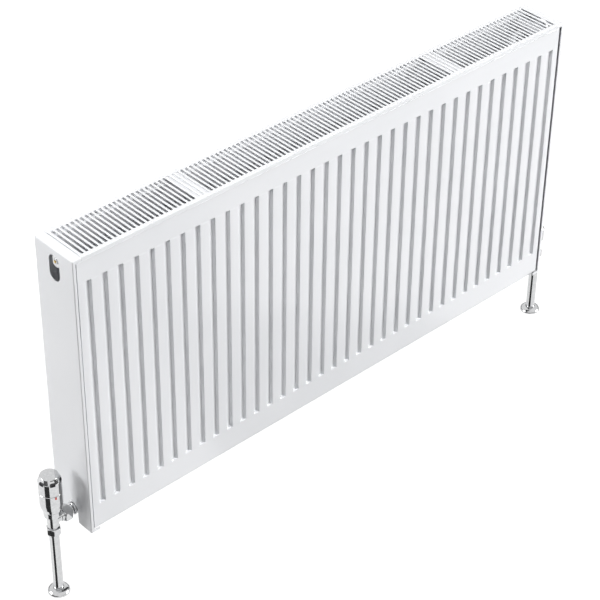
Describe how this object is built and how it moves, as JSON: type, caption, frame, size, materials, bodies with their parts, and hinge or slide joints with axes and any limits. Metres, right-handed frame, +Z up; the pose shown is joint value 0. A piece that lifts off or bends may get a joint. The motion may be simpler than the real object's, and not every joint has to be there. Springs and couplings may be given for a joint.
{
  "type": "panel radiator",
  "caption": "White pressed-steel double panel radiator with a top grille, side panels, wall brackets, a chrome thermostatic valve, a lockshield valve and sleeved pipes.",
  "frame": {"origin": "on the floor, midway along the radiator, and midway between its front face and the wall behind it", "axes": "+Z up, +X along the radiator to the right as seen from the room, +Y towards the wall it hangs on"},
  "size_m": [1.3345, 0.139, 0.75],
  "materials": {
    "white_paint": "smooth semi-gloss white powder coat",
    "chrome": "polished chrome plate",
    "brass": "plain machined",
    "copper": "drawn copper tube",
    "spring_steel": "bright drawn",
    "zinc_plate": "zinc plated",
    "grey_plastic": "moulded",
    "red_plastic": "moulded",
    "rubber": "moulded"
  },
  "bodies": {
    "radiator": {"front_panel_outer_sheet": "white_paint", "front_panel_inner_sheet": "white_paint", "rear_panel_inner_sheet": "white_paint", "rear_panel_outer_sheet": "white_paint", "front_convector": "white_paint", "rear_convector": "white_paint", "top_left_tee": "white_paint", "top_right_tee": "white_paint", "bottom_left_tee": "white_paint", "bottom_right_tee": "white_paint", "air_vent_plug": "chrome", "air_vent_washer": "rubber", "blanking_plug": "chrome", "blanking_plug_washer": "rubber", "left_grille_strap": "white_paint", "right_grille_strap": "white_paint", "left_wall_bracket": "zinc_plate", "right_wall_bracket": "zinc_plate", "upper_left_lug": "white_paint", "lower_left_lug": "white_paint", "upper_right_lug": "white_paint", "lower_right_lug": "white_paint", "upper_left_saddle": "grey_plastic", "lower_left_saddle": "grey_plastic", "upper_right_saddle": "grey_plastic", "lower_right_saddle": "grey_plastic", "trv_body": "chrome", "trv_tail": "chrome", "trv_union_nut": "chrome", "trv_compression_nut": "chrome", "trv_olive": "brass", "trv_insert": "brass", "trv_return_spring": "spring_steel", "trv_head_ring": "chrome", "trv_head_sleeve": "chrome", "trv_set_marker": "red_plastic", "lockshield_body": "chrome", "lockshield_tail": "chrome", "lockshield_union_nut": "chrome", "lockshield_compression_nut": "chrome", "lockshield_olive": "brass", "left_pipe": "copper", "right_pipe": "copper", "left_pipe_sleeve": "chrome", "right_pipe_sleeve": "chrome", "left_floor_collar": "chrome", "right_floor_collar": "chrome"},
    "grille": {"top_grille": "white_paint"},
    "left_side": {"left_side_panel": "white_paint"},
    "right_side": {"right_side_panel": "white_paint"},
    "valve_head": {"trv_head_cap": "chrome"},
    "sensor_and_pin": {"trv_sensor_capsule": "brass", "trv_pin": "spring_steel"},
    "bleed_valve": {"bleed_screw": "brass"},
    "lock_spindle": {"lockshield_spindle": "brass"},
    "lock_cover": {"lockshield_cap": "chrome"}
  },
  "joints": [
    {"name": "grille_lift", "type": "slide", "parent": "radiator", "child": "grille", "axis": [0, 0, 1], "range_m": [0, 0.04]},
    {"name": "left_side_lift", "type": "slide", "parent": "radiator", "child": "left_side", "axis": [0, 0, 1], "range_m": [0, 0.024]},
    {"name": "right_side_lift", "type": "slide", "parent": "radiator", "child": "right_side", "axis": [0, 0, 1], "range_m": [0, 0.024]},
    {"name": "valve_head_turn", "type": "hinge", "parent": "radiator", "child": "valve_head", "pos_m": [-0.646, -0.018, 0.25], "axis": [0, 0, 1], "range_deg": [-150, 150]},
    {"name": "pin_slide", "type": "slide", "parent": "radiator", "child": "sensor_and_pin", "axis": [0, 0, 1], "range_m": [-0.0015, 0.0015], "deforming": ["trv_return_spring"]},
    {"name": "bleed_screw_turn", "type": "hinge", "parent": "radiator", "child": "bleed_valve", "pos_m": [-0.592, -0.018, 0.723], "axis": [-1, 0, 0], "range_deg": [0, 540]},
    {"name": "lockshield_spindle_turn", "type": "hinge", "parent": "radiator", "child": "lock_spindle", "pos_m": [0.646, -0.018, 0.19], "axis": [0, 0, 1], "range_deg": [0, 1080]},
    {"name": "lockshield_cap_pull", "type": "slide", "parent": "radiator", "child": "lock_cover", "axis": [0, 0, 1], "range_m": [0, 0.03]}
  ],
  "couplings": [
    {"joint": "pin_slide", "follows": "valve_head_turn", "m_per_rad": 0.00057}
  ]
}
